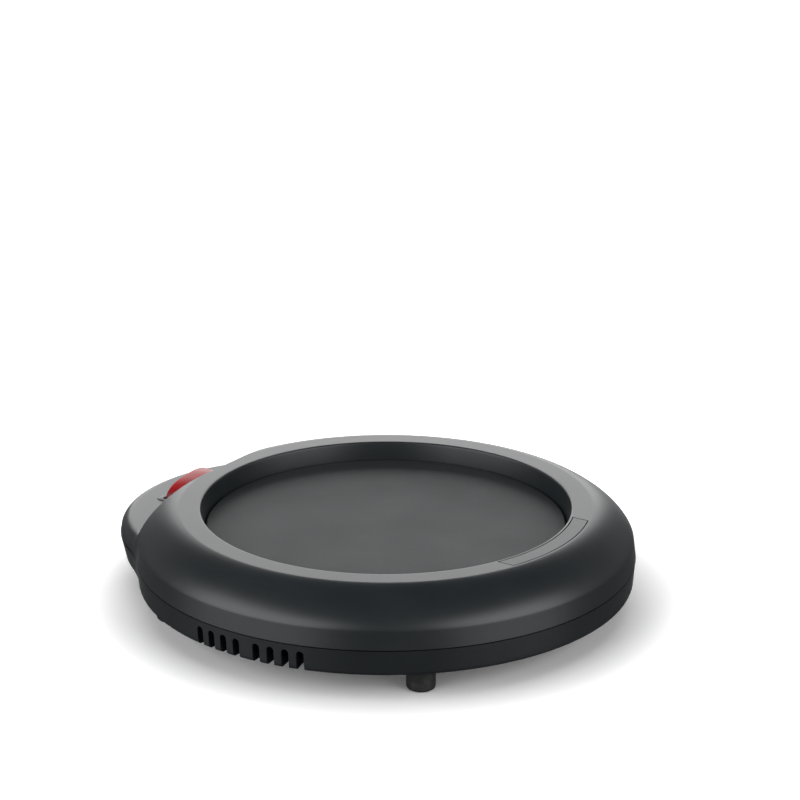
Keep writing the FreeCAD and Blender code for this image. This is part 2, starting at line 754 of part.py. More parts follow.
def make_contact_lever():
    low = fulcrum_z + fulcrum_gap
    half = lever_width / 2
    strip = block(-lever_reach, lever_tail, switch_y - half, switch_y + half, low, low + lever_thickness)
    button = cylinder(contact_radius, low - contact_height, low, -contact_x, switch_y)
    return tilted_lever(fuse([strip, button]))


def terminal_strip(x, back):
    front = switch_y - housing_half_width - housing_wall - terminal_reach
    half = terminal_width / 2
    return block(x - half, x + half, front, back, housing_floor_z, housing_floor_z + terminal_thickness)


def make_common_terminal():
    """A strip with a knife edge on which the lever rocks."""
    w = fulcrum_half_width
    low = housing_floor_z + terminal_thickness / 2
    y0 = switch_y - lever_width / 2
    edge = Part.Face(Part.makePolygon([V(-w, y0, low), V(w, y0, low), V(w, y0, fulcrum_z - w),
                                       V(0, y0, fulcrum_z), V(-w, y0, fulcrum_z - w), V(-w, y0, low)]))
    return fuse([terminal_strip(0, switch_y + lever_width / 2), edge.extrude(V(0, lever_width, 0))])


def make_load_terminal():
    """A strip with the fixed contact, which the lever's contact meets when the switch is on."""
    angle = math.radians(lever_tilt)
    button_bottom = fulcrum_gap - contact_height
    closed = fulcrum_z - (contact_x + contact_radius) * math.sin(angle) + button_bottom * math.cos(angle)
    button = cylinder(contact_radius, housing_floor_z, closed - contact_gap, -contact_x, switch_y)
    return fuse([terminal_strip(-contact_x, switch_y + lever_width / 2), button])


def make_lamp_terminal():
    return terminal_strip(lamp_terminal_x, switch_y + lamp_offset)


def make_neon_lamp():
    """A small glow lamp: a glass barrel with a tapered tip."""
    z = housing_floor_z + part_gap + lamp_radius
    y = switch_y + lamp_offset
    shoulder = lamp_x + lamp_length - lamp_radius
    tip = Part.makeCone(lamp_radius, lamp_radius / 2, lamp_radius, V(shoulder, y, z), V(1, 0, 0))
    return bar_along_x(lamp_radius, lamp_x, shoulder, y, z).fuse(tip)


def make_lamp_resistor():
    z = housing_floor_z + terminal_thickness + part_gap + resistor_radius
    return bar_along_x(resistor_radius, resistor_x, resistor_x + resistor_length, switch_y - lamp_offset, z)


def make_cord_inlet():
    """A flanged bushing through the back wall of the lobe, half in the cover and half in the base."""
    face = lobe_back + inlet_seat_gap
    inner = lobe_back - lobe_base_draft - wall - inlet_seat_gap
    flange = inlet_tube(inlet_flange_radius, face, face + inlet_flange_thickness)
    neck = inlet_tube(inlet_neck_radius, inner, face)
    key = inlet_tube(inlet_neck_radius, inner - inlet_flange_thickness, inner)
    return fuse([flange, neck, key]).cut(inlet_tube(inlet_bore_radius, inner - beyond, face + beyond))


def make_thermal_cutoff():
    x = tab_places()[0][0]
    front = cutoff_back - cutoff_length
    nose = 2 * cutoff_nose_radius
    can = bar_along_y(cutoff_radius, x, front + nose, cutoff_back, cutoff_z)
    return can.fuse(Part.makeCone(cutoff_nose_radius, cutoff_radius, nose, V(x, front, cutoff_z), V(0, 1, 0)))


def make_cutoff_clip():
    """A strap that holds the cut-off against the clamp plate."""
    x = tab_places()[0][0]
    y0 = cutoff_back - cutoff_length / 2 - clip_width / 4
    inner = cutoff_radius + cutoff_gap
    outer = inner + clip_thickness
    round_strap = bar_along_y(outer, x, y0, y0 + clip_width, cutoff_z)
    sides = block(x - outer, x + outer, y0, y0 + clip_width, cutoff_z, clamp_bottom_z)
    feet = block(x - outer - clip_foot, x + outer + clip_foot, y0, y0 + clip_width,
                 clamp_bottom_z - clip_thickness, clamp_bottom_z)
    hollow = [bar_along_y(inner, x, y0 - 1, y0 + clip_width + 1, cutoff_z),
              block(x - inner, x + inner, y0 - 1, y0 + clip_width + 1, cutoff_z, clamp_bottom_z + 1),
              block(x - body_radius, x + body_radius, y0 - 1, y0 + clip_width + 1, clamp_bottom_z, rim_top)]
    return fuse([round_strap, sides, feet]).cut(hollow)


def tube(points, radius):
    """A round lead in straight runs that meet in mitres."""
    corners = [V(*p) for p in points]
    section = Part.Wire([Part.makeCircle(radius, corners[0], corners[1].sub(corners[0]))])
    return Part.makePolygon(corners).makePipeShell([section], True, True, 1)


def shifted(place, step):
    return tuple(a + b for a, b in zip(place, step))


def terminal_end(x):
    """Where a lead meets a terminal outside the switch."""
    front = switch_y - housing_half_width - housing_wall - terminal_reach
    return (x, front - lead_gap, housing_floor_z + terminal_thickness / 2)


def crimp_entry(side):
    """Where a lead ends inside the crimp, on one side of its middle."""
    return (crimp_x + crimp_grip, crimp_y + side * (lead_radius + part_gap), floor_z + part_gap + crimp_radius)


def make_live_lead():
    x = tab_places()[0][0]
    start = terminal_end(-contact_x)
    end = (x, cutoff_back + lead_gap, cutoff_z)
    return tube([start, shifted(start, live_first), shifted(end, live_last_from_end), end], lead_radius)


def make_heater_lead():
    x, y = tab_places()[0]
    return bar_along_y(lead_radius, x, y + ribbon_width / 2, cutoff_back - cutoff_length, cutoff_z)


def make_neutral_lead():
    x, y = tab_places()[1]
    end = crimp_entry(-1)
    start = (x, y + ribbon_width / 2 + lead_gap, clamp_bottom_z - tab_length + lead_radius)
    outward = [shifted((x, y, lead_z), (*step, 0)) for step in neutral_corners]
    far, near = neutral_last_from_end
    inward = [shifted((end[0], end[1], lead_z), (*far, 0)), shifted(end, (*near, 0))]
    return tube([start] + outward + inward + [end], lead_radius)


def make_lamp_lead():
    start = terminal_end(lamp_terminal_x)
    end = crimp_entry(1)
    return tube([start, shifted(start, lamp_first), shifted(end, lamp_last_from_end), end], lead_radius)


def make_neutral_crimp():
    z = floor_z + part_gap + crimp_radius
    sleeve = bar_along_x(crimp_radius, crimp_x, crimp_x + crimp_length, crimp_y, z)
    bore = bar_along_x(crimp_radius - crimp_wall, crimp_x - 1, crimp_x + crimp_length - 2 * crimp_wall, crimp_y, z)
    return sleeve.cut(bore)


nodes = {
    "upper_cover": make_upper_cover(),
    "lower_base": make_lower_base(),
    "rim_inlay": make_rim_inlay(),
    "warming_plate": make_warming_plate(),
    "plate_gasket": make_plate_gasket(),
    "upper_mica": heater_disc(mica_radius, ribbon_top_z, heater_top_z, with_tabs=False),
    "heater_ribbon": make_heater_ribbon(),
    "lower_mica": heater_disc(mica_radius, pad_top_z, lower_mica_top_z),
    "insulation_pad": heater_disc(mica_radius, lip_bottom_z, pad_top_z),
    "clamp_plate": make_clamp_plate(),
    "plate_screws": make_plate_screws(),
    "heat_shield": make_heat_shield(),
    "case_screws": make_case_screws(),
    "switch_housing": make_switch_housing(),
    "rocker": make_rocker(),
    "rocker_plunger": make_rocker_plunger(),
    "plunger_spring": make_plunger_spring(),
    "contact_lever": make_contact_lever(),
    "common_terminal": make_common_terminal(),
    "load_terminal": make_load_terminal(),
    "lamp_terminal": make_lamp_terminal(),
    "neon_lamp": make_neon_lamp(),
    "lamp_resistor": make_lamp_resistor(),
    "cord_inlet": make_cord_inlet(),
    "thermal_cutoff": make_thermal_cutoff(),
    "cutoff_clip": make_cutoff_clip(),
    "live_lead": make_live_lead(),
    "heater_lead": make_heater_lead(),
    "neutral_lead": make_neutral_lead(),
    "lamp_lead": make_lamp_lead(),
    "neutral_crimp": make_neutral_crimp(),
}
for place, (x, y) in foot_places().items():
    nodes["foot_" + place] = make_foot(x, y)

for name, shape in nodes.items():
    print(name, "solids", len(shape.Solids), "valid", shape.isValid(), "volume", round(shape.Volume, 1))
    shape.exportStep("parts/" + name + ".step")
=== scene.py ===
# Electric mug warmer: a black satin case round a recessed hot plate, with a red rocker on the lobe
# behind it. Sizes are in millimetres and turned to metres where a mesh is made.
import json
import math
import bmesh
import bpy
import numpy as np
from mathutils import Matrix, Vector


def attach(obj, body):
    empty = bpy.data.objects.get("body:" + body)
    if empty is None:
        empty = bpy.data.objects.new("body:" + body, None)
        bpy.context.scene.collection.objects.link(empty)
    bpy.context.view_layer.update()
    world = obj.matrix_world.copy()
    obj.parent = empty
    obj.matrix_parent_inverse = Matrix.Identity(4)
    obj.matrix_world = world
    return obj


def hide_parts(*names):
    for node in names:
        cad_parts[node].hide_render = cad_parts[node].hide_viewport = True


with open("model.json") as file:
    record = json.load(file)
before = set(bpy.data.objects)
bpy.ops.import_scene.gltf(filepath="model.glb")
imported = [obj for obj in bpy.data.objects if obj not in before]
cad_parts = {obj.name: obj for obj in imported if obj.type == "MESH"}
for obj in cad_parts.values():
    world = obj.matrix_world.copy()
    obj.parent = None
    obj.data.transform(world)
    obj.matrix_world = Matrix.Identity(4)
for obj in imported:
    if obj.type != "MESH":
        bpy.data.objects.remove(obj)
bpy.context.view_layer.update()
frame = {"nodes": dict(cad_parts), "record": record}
scene = bpy.context.scene
nodes = frame["nodes"]
mm = 0.001
print("stage: frame loaded,", len(nodes), "nodes")

# the case's levels and radii, as the solids have them
case = dict(
    rimTop=4.6, shoulderDrop=8.1, flatRadius=51.8, shoulderRadius=62.25, bodyRadius=62.8, baseRadius=62.3,
    fullness=1.46,                       # exponent of the shoulder's curve, 2 would be a plain ellipse
    recessRadius=46.4, recessFloor=45.5, recessEdge=0.5, recessWall=47.5,
    lipRadius=41.6, lipTop=-2.0, lipBottom=-3.8,
    coverEdge=-7.9, baseEdge=-8.2, bottom=-14.6, floorTop=-12.6, table=-20.9, wall=2.2,
    lobeCentre=32.0, lobeRadius=42.0, lobeTopRadius=41.6, lobeBaseRadius=40.6, lobeTop=-4.2, lobeEdge=3.0,
    notchFront=51.2, notchFloor=-8.5, edgeSoftness=0.45, blend=2.6,
    skirt=1.1, tongue=1.6, bottomEdge=1.0, rayStart=48.2)


# shader maths on sockets

class Wire:
    # a socket that numbers and other sockets can be combined with, in the tree that is being laid out
    tree = None

    def __init__(self, socket):
        self.socket = socket

    def combine(self, other, operation, swap=False):
        first, second = (other, self) if swap else (self, other)
        return Wire(makeNode("ShaderNodeMath", {"operation": operation}, {0: first, 1: second}).outputs[0])

    def __add__(self, other):
        return self.combine(other, "ADD")

    def __radd__(self, other):
        return self.combine(other, "ADD", True)

    def __mul__(self, other):
        return self.combine(other, "MULTIPLY")

    def __rmul__(self, other):
        return self.combine(other, "MULTIPLY", True)

    def __pow__(self, other):
        return self.combine(other, "POWER")

    def ramp(self, low, high):           # 0 below low, 1 above high and a smooth step between them
        values = {"Value": self, "From Min": low, "From Max": high, "To Min": 0.0, "To Max": 1.0}
        node = makeNode("ShaderNodeMapRange", {"interpolation_type": "SMOOTHSTEP"}, values)
        return Wire(node.outputs["Result"])


# one node of a type, its settings, then the values or links of its sockets
def makeNode(kind, settings=None, inputs=None):
    node = Wire.tree.nodes.new(kind)
    for name, value in (settings or {}).items():
        setattr(node, name, value)
    for name, value in (inputs or {}).items():
        if isinstance(value, Wire):
            Wire.tree.links.new(value.socket, node.inputs[name])
        else:
            node.inputs[name].default_value = value
    return node


def objectPoint():
    return Wire(makeNode("ShaderNodeTexCoord").outputs["Object"])


def axes(point):
    parts = makeNode("ShaderNodeSeparateXYZ", None, {0: point}).outputs
    return Wire(parts[0]), Wire(parts[1]), Wire(parts[2])


def noise(point, scale, detail, roughness):
    values = {"Vector": point, "Scale": scale, "Detail": detail, "Roughness": roughness}
    return Wire(makeNode("ShaderNodeTexNoise", None, values).outputs["Fac"])


# a Mix node set to colour has its two colours on sockets 6 and 7, and gives its colour on output 2
def mixColour(amount, first, second):
    node = makeNode("ShaderNodeMix", {"data_type": "RGBA"}, {"Factor": amount})
    for place, value in ((6, first), (7, second)):
        if isinstance(value, Wire):
            Wire.tree.links.new(value.socket, node.inputs[place])
        else:
            node.inputs[place].default_value = (*value, 1.0)
    return Wire(node.outputs[2])


def bump(height, strength, distance):
    values = {"Height": height, "Strength": strength, "Distance": distance}
    return Wire(makeNode("ShaderNodeBump", None, values).outputs["Normal"])


# a material whose nodes the given function lays out around its shader
def newMaterial(name, build):
    material = bpy.data.materials.new(name)
    material.use_nodes = True
    Wire.tree = material.node_tree
    build(Wire.tree.nodes["Principled BSDF"])
    return material


def setSockets(shader, **values):
    for name, value in values.items():
        socket = shader.inputs[name.replace("_", " ")]
        if isinstance(value, Wire):
            Wire.tree.links.new(value.socket, socket)
        else:
            socket.default_value = (*value, 1.0) if isinstance(value, tuple) else value


shellFinish = dict(colour=(0.0075, 0.0105, 0.0125), worn=(0.011, 0.014, 0.016), wornRange=(0.35, 0.75),
                   roughness=0.33, smudgeScale=45.0, smudgeGloss=0.05, grainScale=2250.0, grainGloss=0.03,
                   grainStrength=0.35, grainDepth=0.000012, ior=1.55)


# satin moulded black: a fine grain and faint smudges in its gloss
def shellPlastic(shader):
    f = shellFinish
    p = objectPoint()
    smudge = noise(p, f["smudgeScale"], 4.0, 0.6)
    grain = noise(p, f["grainScale"], 2.0, 0.6)
    colour = mixColour(smudge.ramp(*f["wornRange"]), f["colour"], f["worn"])
    roughness = f["roughness"] + f["smudgeGloss"] * smudge + f["grainGloss"] * grain
    setSockets(shader, Base_Color=colour, Roughness=roughness, IOR=f["ior"],
               Normal=bump(grain, f["grainStrength"], f["grainDepth"]))


plateFinish = dict(colour=(0.016, 0.018, 0.019), fleck=(0.034, 0.037, 0.038), fleckRange=(0.5, 0.72),
                   roughness=0.50, fleckScale=2600.0, cloudScale=60.0, cloudGloss=0.10,
                   fleckStrength=0.4, fleckDepth=0.00002, ior=1.38)


# dark matte non-stick coating with a fine speckle
def plateCoating(shader):
    f = plateFinish
    p = objectPoint()
    speckle = noise(p, f["fleckScale"], 3.0, 0.7)
    cloud = noise(p, f["cloudScale"], 3.0, 0.5)
    colour = mixColour(speckle.ramp(*f["fleckRange"]), f["colour"], f["fleck"])
    setSockets(shader, Base_Color=colour, Roughness=f["roughness"] + f["cloudGloss"] * cloud, IOR=f["ior"],
               Normal=bump(speckle, f["fleckStrength"], f["fleckDepth"]))


trimFinish = dict(colour=(0.012, 0.015, 0.017), fleck=(0.030, 0.033, 0.035), fleckRange=(0.4, 0.7),
                  roughness=0.36, fleckScale=3200.0, fleckGloss=0.08, fleckStrength=0.5, fleckDepth=0.00002,
                  ior=1.55)


# the trim strip: a shade greyer than the case, finely textured
def trimPlastic(shader):
    f = trimFinish
    speckle = noise(objectPoint(), f["fleckScale"], 3.0, 0.7)
    colour = mixColour(speckle.ramp(*f["fleckRange"]), f["colour"], f["fleck"])
    setSockets(shader, Base_Color=colour, Roughness=f["roughness"] + f["fleckGloss"] * speckle, IOR=f["ior"],
               Normal=bump(speckle, f["fleckStrength"], f["fleckDepth"]))


# the skirt colour is painted shade low on the rocker, fading to the crown colour up the height range in mm
redFinish = dict(skirt=(0.030, 0.001, 0.002), crown=(0.30, 0.006, 0.009), cloud=(0.46, 0.020, 0.020),
                 paintedShadeRange=(-5.2, -0.6), cloudRange=(0.35, 0.7), cloudShare=0.45, cloudScale=420.0,
                 roughness=0.30, cloudGloss=0.08, ior=1.30)


# red plastic with painted shade: darker down towards its skirt, brighter on the crown
def redPlastic(shader):
    f = redFinish
    p = objectPoint()
    cloud = noise(p, f["cloudScale"], 3.0, 0.6)
    # painted shade by height: dark low on the skirt, full red on the crown
    height = (axes(p)[2] * (1 / mm)).ramp(*f["paintedShadeRange"])
    shadedRed = mixColour(height, f["skirt"], f["crown"])
    colour = mixColour(cloud.ramp(*f["cloudRange"]) * f["cloudShare"], shadedRed, f["cloud"])
    setSockets(shader, Base_Color=colour, Roughness=f["roughness"] + f["cloudGloss"] * cloud, IOR=f["ior"])


rubberFinish = dict(colour=(0.012, 0.012, 0.013), bloom=(0.030, 0.030, 0.031), bloomRange=(0.4, 0.7),
                    roughness=0.55, bloomScale=300.0, bloomGloss=0.15, bloomStrength=0.3, bloomDepth=0.00003)


# soft black rubber with a dusty bloom
def rubber(shader):
    f = rubberFinish
    bloom = noise(objectPoint(), f["bloomScale"], 4.0, 0.65)
    colour = mixColour(bloom.ramp(*f["bloomRange"]), f["colour"], f["bloom"])
    setSockets(shader, Base_Color=colour, Roughness=f["roughness"] + f["bloomGloss"] * bloom,
               Normal=bump(bloom, f["bloomStrength"], f["bloomDepth"]))


brushing = dict(scale=900.0, stretch=0.05, shade=0.75, gloss=0.15)


# a plain metal with fine brushing along X
def metal(colour, roughness):
    def build(shader):
        b = brushing
        scale = (b["scale"] * b["stretch"], b["scale"], b["scale"])
        stretched = makeNode("ShaderNodeMapping", None, {"Vector": objectPoint(), "Scale": scale})
        grain = noise(Wire(stretched.outputs[0]), 1.0, 3.0, 0.6)
        darker = tuple(c * b["shade"] for c in colour)
        setSockets(shader, Base_Color=mixColour(grain, darker, colour), Metallic=1.0,
                   Roughness=roughness + b["gloss"] * grain)
    return build


mottling = dict(range=(0.3, 0.7), gloss=0.1, strength=0.2, depth=0.00003)


# a non-metal in two close shades with a soft mottle
def plainSurface(first, second, roughness, scale):
    def build(shader):
        m = mottling
        mottle = noise(objectPoint(), scale, 4.0, 0.6)
        setSockets(shader, Base_Color=mixColour(mottle.ramp(*m["range"]), first, second),
                   Roughness=roughness + m["gloss"] * mottle, Normal=bump(mottle, m["strength"], m["depth"]))
    return build


# non-metals by slot: name, darker shade, paler shade, roughness and the scale of the mottle
plainFinishes = dict(
    seal=("gasketRubber", (0.02, 0.02, 0.02), (0.05, 0.05, 0.05), 0.7, 500.0),
    mica=("micaSheet", (0.42, 0.34, 0.20), (0.60, 0.52, 0.36), 0.35, 240.0),
    insulation=("fibreFelt", (0.62, 0.60, 0.55), (0.80, 0.78, 0.74), 0.9, 900.0),
    switch_black=("switchBlack", (0.015, 0.015, 0.016), (0.030, 0.030, 0.032), 0.35, 700.0),
    lamp_glass=("lampGlass", (0.85, 0.60, 0.45), (0.95, 0.75, 0.60), 0.1, 500.0),
    resistor_body=("lacquer", (0.50, 0.38, 0.24), (0.62, 0.50, 0.34), 0.3, 800.0),
    sleeving=("glassSleeving", (0.62, 0.58, 0.48), (0.80, 0.76, 0.66), 0.7, 1500.0),
    crimp_nylon=("crimpNylon", (0.60, 0.58, 0.50), (0.74, 0.72, 0.64), 0.5, 500.0))

# metals by slot: name, colour and roughness
metalFinishes = dict(
    heater_metal=("ribbonMetal", (0.45, 0.42, 0.38), 0.4),
    steel=("platedSteel", (0.62, 0.63, 0.65), 0.28),
    shield_metal=("rolledSheet", (0.78, 0.79, 0.80), 0.25),
    brass=("contactBrass", (0.72, 0.54, 0.24), 0.3))

materials = {
    "black_shell": newMaterial("satinBlack", shellPlastic),
    "grey_trim": newMaterial("trimGrey", trimPlastic),
    "hot_plate": newMaterial("plateCoating", plateCoating),
    "red_rocker": newMaterial("clearRed", redPlastic),
    "foot_rubber": newMaterial("blackRubber", rubber),
}
for slot, (name, *finish) in plainFinishes.items():
    materials[slot] = newMaterial(name, plainSurface(*finish))
for slot, (name, *finish) in metalFinishes.items():
    materials[slot] = newMaterial(name, metal(*finish))
for entry in frame["record"]["subparts"]:
    mesh = nodes[entry["node"]].data
    mesh.materials.clear()
    mesh.materials.append(materials[entry["material_slot"]])
print("stage: materials made")


# meshes from whole arrays

pieceWeld, toolWeld = 1e-6, 1e-7         # in metres, points nearer than this are one


# a mesh from millimetre points, with its doubles merged and its faces turned outwards
def closedMesh(name, points, faces, weld):
    mesh = bpy.data.meshes.new(name)
    mesh.from_pydata((points * mm).tolist(), [], faces)
    work = bmesh.new()
    work.from_mesh(mesh)
    bmesh.ops.remove_doubles(work, verts=work.verts, dist=weld)
    bmesh.ops.recalc_face_normals(work, faces=work.faces)
    work.to_mesh(mesh)
    work.free()
    shape = bpy.data.objects.new(name, mesh)
    scene.collection.objects.link(shape)
    return shape


# the piece's material, smooth faces with sharp edges past an angle, its body and the node it stands for
def finishPiece(piece, slot, body, standsFor, smoothAngle=30.0):
    piece.data.materials.clear()
    piece.data.materials.append(materials[slot])
    piece.data.polygons.foreach_set("use_smooth", np.ones(len(piece.data.polygons), bool))
    piece.data.set_sharp_from_angle(angle=math.radians(smoothAngle))
    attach(piece, body)
    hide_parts(standsFor)


def addPiece(name, points, faces, slot, body, standsFor, smoothAngle=30.0):
    finishPiece(closedMesh(name, points, faces, pieceWeld), slot, body, standsFor, smoothAngle)


# quads between neighbouring rows and columns of a grid, closed where it wraps
def gridFaces(rows, columns, wrapRows=True, wrapColumns=True):
    i = np.arange(rows if wrapRows else rows - 1)[:, None]
    j = np.arange(columns if wrapColumns else columns - 1)[None, :]
    i2, j2 = (i + 1) % rows, (j + 1) % columns
    quads = np.stack([i * columns + j, i * columns + j2, i2 * columns + j2, i2 * columns + j], -1)
    return quads.reshape(-1, 4).tolist()


# a tube of rings with a face over its first and its last ring
def cappedFaces(rings, n):
    return gridFaces(rings, n, wrapRows=False) + [list(range(n)), list(range((rings - 1) * n, rings * n))]


# a profile of radius and height turned about the upright axis: (r cos a, r sin a, z) for each angle a
def turnedGrid(profile, steps):
    angle = np.linspace(0, 2 * np.pi, steps, endpoint=False)[:, None]
    r, z = profile[:, 0][None, :], profile[:, 1][None, :]
    return np.stack([r * np.cos(angle), r * np.sin(angle), z + 0 * angle], -1).reshape(-1, 3)


# points of an arc, from start to end in degrees
def arc(centre, radius, start, end, steps):
    a = np.radians(np.linspace(start, end, steps))
    return np.stack([centre[0] + radius * np.cos(a), centre[1] + radius * np.sin(a)], -1)


def circle(centre, radius, steps=40):
    return arc(centre, radius, 0, 360 - 360 / steps, steps)


def path(*stretches):
    return np.concatenate([np.atleast_2d(np.asarray(s, float)) for s in stretches])


# the grid that distances are worked out on: its step, greatest radius, lowest and greatest height
distanceGrid = dict(step=0.15, radius=90.0, low=-22.0, high=12.0)


# Distance from any (r, z) to a line of points, negative on the side that holds the inside point. It is
# worked out once on a grid as the least distance to any segment, with the side taken from the nearest
# segment's cross product, and read between the grid's points afterwards.
def signedDistance(line, inside):
    step = distanceGrid["step"]
    rs = np.arange(0.0, distanceGrid["radius"], step)
    zs = np.arange(distanceGrid["low"], distanceGrid["high"], step)
    r, z = np.meshgrid(rs, zs, indexing="ij")
    best = np.full(r.shape, np.inf)
    side = np.ones(r.shape)
    for a, b in zip(line[:-1], line[1:]):
        d = b - a
        t = np.clip(((r - a[0]) * d[0] + (z - a[1]) * d[1]) / (d @ d), 0, 1)
        gap = np.hypot(r - a[0] - t * d[0], z - a[1] - t * d[1])
        cross = d[0] * (z - a[1]) - d[1] * (r - a[0])
        nearer = gap < best - 1e-9
        side = np.where(nearer, np.sign(cross), side)
        best = np.where(nearer, gap, best)
    table = best * side
    table *= -np.sign(table[np.abs(rs - inside[0]).argmin(), np.abs(zs - inside[1]).argmin()])

    def read(r, z):
        u = np.clip((r - rs[0]) / step, 0, len(rs) - 1.001)
        v = np.clip((z - zs[0]) / step, 0, len(zs) - 1.001)
        i, j = u.astype(int), v.astype(int)
        fu, fv = u - i, v - j
        low = table[i, j] * (1 - fv) + table[i, j + 1] * fv
        high = table[i + 1, j] * (1 - fv) + table[i + 1, j + 1] * fv
        return low * (1 - fu) + high * fu
    return read


# the lesser of two distances, rounded off over a width of k where they meet
def softMin(a, b, k):
    h = np.clip(0.5 + 0.5 * (b - a) / k, 0, 1)
    return b + (a - b) * h - k * h * (1 - h)


# the ring's outline: flat rim, superellipse shoulder, drafted side
def shoulderLine():
    c = case
    t = np.linspace(0, np.pi / 2, 60)
    wide, foot = c["shoulderRadius"] - c["flatRadius"], c["rimTop"] - c["shoulderDrop"]
    x = c["flatRadius"] + wide * np.sin(t) ** (2 / c["fullness"])
    z = foot + c["shoulderDrop"] * np.cos(t) ** (2 / c["fullness"])
    draft = (c["bodyRadius"] - c["shoulderRadius"]) / (foot - c["coverEdge"])
    low = distanceGrid["low"]
    return path((0, c["rimTop"]), np.stack([x, z], -1), (c["shoulderRadius"] + draft * (foot - low), low))


# the lobe's outline from its own centre: flat top, rounded edge, drafted side
def lobeLine():
    c = case
    centre = (c["lobeTopRadius"] - c["lobeEdge"], c["lobeTop"] - c["lobeEdge"])
    edge = arc(centre, c["lobeEdge"], 90, 0, 24)
    draft = (c["lobeRadius"] - c["lobeTopRadius"]) / (c["lobeTop"] - c["coverEdge"])
    low = distanceGrid["low"]
    return path((0, c["lobeTop"]), edge, (c["lobeTopRadius"] + draft * (edge[-1, 1] - low), low))


# a lower shell's outline: drafted side, rounded bottom edge, flat bottom
def baseLine(low, top):
    edge, rise = case["bottomEdge"], 20.0    # the side goes on by the rise above the shell's top
    bend = arc((low - edge, case["bottom"] + edge), edge, 0, -90, 12)
    draft = (top - low) / (case["baseEdge"] - case["bottom"])
    return path((top + draft * rise, case["baseEdge"] + rise), bend, (0, case["bottom"]))


# each outline with a point that lies inside it
ringGap = signedDistance(shoulderLine(), (30.0, -5.0))
lobeGap = signedDistance(lobeLine(), (10.0, -12.0))
baseRing = signedDistance(baseLine(case["baseRadius"], case["bodyRadius"]), (30.0, -10.0))
baseLobe = signedDistance(baseLine(case["lobeBaseRadius"], case["lobeRadius"]), (10.0, -10.0))


# distance to the cover's outside: the ring, cut off straight before the rocker, softly joined to the lobe
def coverGap(x, y, z):
    c = case
    ring = ringGap(np.hypot(x, y), z)
    notch = np.maximum(c["notchFront"] - y, c["notchFloor"] - z)
    cut = -softMin(-ring, notch, c["edgeSoftness"])
    return softMin(cut, lobeGap(np.hypot(x, y - c["lobeCentre"]), z), c["blend"])


def baseGap(x, y, z):
    lobe = baseLobe(np.hypot(x, y - case["lobeCentre"]), z)
    return softMin(baseRing(np.hypot(x, y), z), lobe, case["blend"])


# how the skins are found: rays per half-plane, their reach, halvings, and the weight of a bend in spacing
rays = dict(count=700, reach=34.0, halvings=26, bendWeight=4.0)


# One skin as rows of (r, z) per direction round the axis. From a start inside the wall, rays fan out in
# each upright half-plane. Along each ray the place where the distance reaches the level is found by
# halving. The row is then spaced out again by its length plus a weight for how much it bends, so that
# edges get more points.
def skin(gap, level, height, startAngle, endAngle, steps, count):
    turn = np.linspace(0, 2 * np.pi, steps, endpoint=False)[:, None]
    fan = np.radians(np.linspace(startAngle, endAngle, rays["count"]))[None, :]
    near = np.zeros((steps, fan.size))
    far = np.full((steps, fan.size), rays["reach"])
    for _ in range(rays["halvings"]):
        middle = (near + far) / 2
        r = case["rayStart"] + middle * np.cos(fan)
        z = height + middle * np.sin(fan)
        outside = gap(r * np.cos(turn), r * np.sin(turn), z) > level
        far = np.where(outside, middle, far)
        near = np.where(outside, near, middle)
    r = case["rayStart"] + far * np.cos(fan)
    z = height + far * np.sin(fan)
    dr, dz = np.diff(r, axis=1), np.diff(z, axis=1)
    heading = np.unwrap(np.arctan2(dz, dr), axis=1)
    bend = np.abs(np.diff(heading, axis=1, append=heading[:, -1:]))
    lengths = np.cumsum(np.hypot(dr, dz) + rays["bendWeight"] * bend, axis=1)
    travel = np.concatenate([np.zeros((steps, 1)), lengths], axis=1)
    travel /= travel[:, -1:]
    wanted = np.linspace(0, 1, count)
    return np.stack([np.stack([np.interp(wanted, t, a), np.interp(wanted, t, b)], -1)
                     for t, a, b in zip(travel, r, z)])


# rows of (r, z), one per direction, as points (r cos a, r sin a, z)
def rowsToPoints(rows):
    turn = np.linspace(0, 2 * np.pi, len(rows), endpoint=False)[:, None]
    points = np.stack([rows[..., 0] * np.cos(turn), rows[..., 0] * np.sin(turn), rows[..., 1]], -1)
    return points.reshape(-1, 3)


def sameForAll(line, steps):
    return np.broadcast_to(line[None], (steps, *line.shape))


# stretches of every row that lie at one height each, from pairs of radii and a height
def levels(*pairs):
    return np.stack([np.stack([radius, np.full(radius.shape, z)], -1) for radius, z in pairs], 1)


coverRows = dict(steps=420, outer=92, inner=40, innerStart=4.0, innerSkipped=3)


# the cover as one closed wall: recess, rim, outer skin, skirt, inner skin, lip
def makeCover():
    c, k = case, coverRows
    rim = c["recessRadius"] + c["recessEdge"]
    high = math.degrees(math.atan2(c["rimTop"] - c["coverEdge"], rim - c["rayStart"]))
    outer = skin(coverGap, 0.0, c["coverEdge"], high, 0.0, k["steps"], k["outer"])
    ceiling = c["rimTop"] - c["wall"]
    innerHigh = math.degrees(math.atan2(ceiling - c["coverEdge"], c["recessWall"] - c["rayStart"]))
    inner = skin(coverGap, -c["wall"], c["coverEdge"], k["innerStart"], innerHigh, k["steps"], k["inner"])
    edge, seat = outer[:, -1, 0], c["coverEdge"] + c["tongue"]
    skirt = levels((edge - c["skirt"], c["coverEdge"]), (edge - c["skirt"], seat), (edge - c["wall"], seat))
    recess = path((c["recessFloor"], c["lipTop"]), (c["recessFloor"], 0.0),
                  arc((rim, c["rimTop"] - c["recessEdge"]), c["recessEdge"], 180, 90, 7)[:-1])
    under = path((c["recessWall"], c["lipBottom"]), (c["lipRadius"], c["lipBottom"]),
                 (c["lipRadius"], c["lipTop"]))
    rows = np.concatenate([sameForAll(recess, k["steps"]), outer, skirt, inner[:, k["innerSkipped"]:],
                           sameForAll(under, k["steps"])], 1)
    return rowsToPoints(rows), gridFaces(k["steps"], rows.shape[1])


baseRows = dict(steps=360, outer=40, endAngle=-100.0, bottomRing=30.0, floorRing=0.6, floorBend=0.5,
                tongueGap=0.12)


